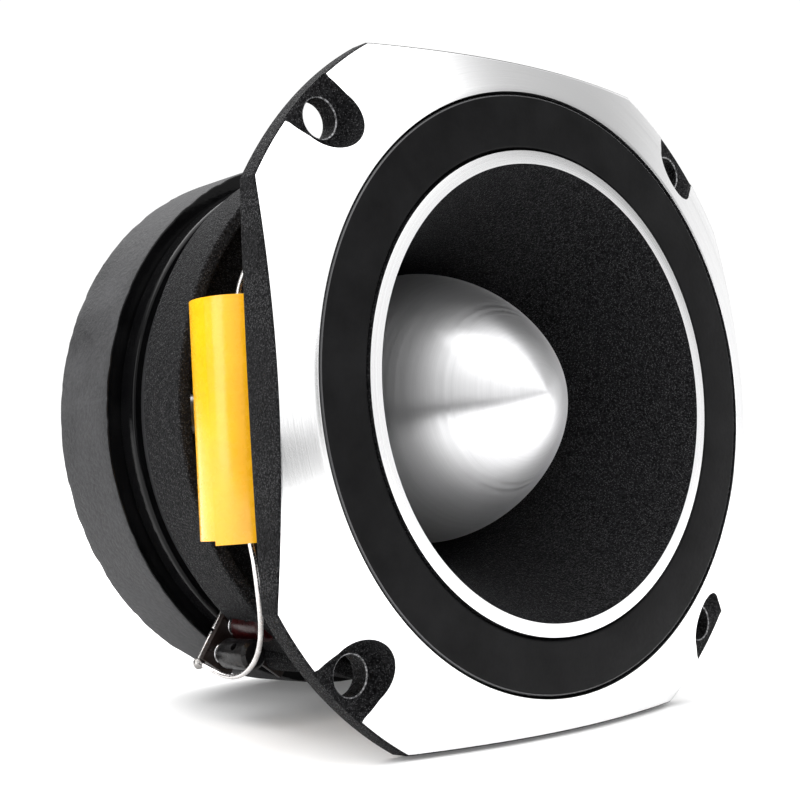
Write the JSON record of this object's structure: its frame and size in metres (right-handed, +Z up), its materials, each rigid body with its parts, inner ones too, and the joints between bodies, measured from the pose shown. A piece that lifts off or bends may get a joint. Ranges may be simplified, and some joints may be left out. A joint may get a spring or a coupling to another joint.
{
  "type": "bullet super tweeter",
  "caption": "Horn loaded super tweeter with a pointed phase plug, square cut round flange, ring magnet, series film capacitor and push terminals.",
  "frame": {"origin": "centre of the four screw holes in the plane of the flange's rear face", "axes": "+Y along the horn's axis towards the magnet, so the mouth looks along -Y; +Z up; +X to the right seen from the front"},
  "size_m": [0.097, 0.074, 0.097],
  "materials": {
    "cast_black": "black powder coat on a die casting, with the flange face and lip turned bright",
    "trim_black": "satin black rubber",
    "turned_aluminium": "satin turned aluminium with fine lathe lines",
    "zinc_steel": "zinc plated steel",
    "surround_film": "thin formed film",
    "diaphragm_foil": "thin metal foil",
    "former_film": "amber film",
    "copper_wire": "copper",
    "carrier_plastic": "black moulded plastic",
    "plate_black": "gloss black coated steel",
    "ferrite": "matte mottled grey ferrite",
    "felt": "black felt",
    "capacitor_yellow": "glossy yellow polyester tape",
    "epoxy": "cast epoxy",
    "hot_melt": "amber adhesive",
    "tinned_wire": "tinned copper wire",
    "fibre_board": "dark fibre board",
    "tinned_lug": "tin plated lug",
    "cap_red": "glossy dark red plastic",
    "cap_black": "glossy black plastic",
    "spring_wire": "spring steel wire",
    "brass": "brass strip",
    "wire_sleeve": "black wire sleeve"
  },
  "bodies": {
    "housing": {"horn_casting": "cast_black", "trim_ring": "trim_black", "phase_plug": "turned_aluminium", "centre_bolt": "zinc_steel", "centre_washer": "zinc_steel", "inner_spacer": "turned_aluminium", "inner_surround": "surround_film", "outer_surround": "surround_film", "carrier_ring": "carrier_plastic", "top_plate": "plate_black", "magnet": "ferrite", "yoke": "zinc_steel", "shorting_sleeve": "copper_wire", "damping_felt": "felt", "assembly_screw_1": "zinc_steel", "assembly_screw_2": "zinc_steel", "assembly_screw_3": "zinc_steel", "assembly_screw_4": "zinc_steel", "capacitor_core": "capacitor_yellow", "capacitor_tape": "capacitor_yellow", "tape_tail": "capacitor_yellow", "end_fill_top": "epoxy", "end_fill_bottom": "epoxy", "adhesive_bead": "hot_melt", "lead_lower": "tinned_wire", "lead_upper": "tinned_wire", "solder_joint": "tinned_wire", "feed_bush": "carrier_plastic", "terminal_strip": "fibre_board", "strip_screw": "zinc_steel", "lug_inner": "tinned_lug", "lug_outer": "tinned_lug", "post_inner": "tinned_lug", "post_outer": "tinned_lug", "cap_spring_red": "spring_wire", "cap_spring_black": "spring_wire", "coil_lug_in": "brass", "coil_lug_out": "brass", "coil_lead_in": "copper_wire", "coil_lead_out": "copper_wire", "return_wire": "wire_sleeve"},
    "voice_coil_assembly": {"diaphragm_ring": "diaphragm_foil", "coil_former": "former_film", "voice_coil": "copper_wire"},
    "red_terminal": {"push_cap_red": "cap_red"},
    "black_terminal": {"push_cap_black": "cap_black"}
  },
  "joints": [
    {"name": "diaphragm_travel", "type": "slide", "parent": "housing", "child": "voice_coil_assembly", "axis": [0, 1, 0], "range_m": [-0.0004, 0.0004], "stiffness_N_per_m": 300, "deforming": ["inner_surround", "outer_surround", "coil_lead_in", "coil_lead_out"]},
    {"name": "red_terminal_push", "type": "slide", "parent": "housing", "child": "red_terminal", "axis": [0, 1, 0], "range_m": [0, 0.0018], "stiffness_N_per_m": 800, "springref_m": -0.001, "deforming": ["cap_spring_red"]},
    {"name": "black_terminal_push", "type": "slide", "parent": "housing", "child": "black_terminal", "axis": [0, 1, 0], "range_m": [0, 0.0018], "stiffness_N_per_m": 800, "springref_m": -0.001, "deforming": ["cap_spring_black"]}
  ]
}
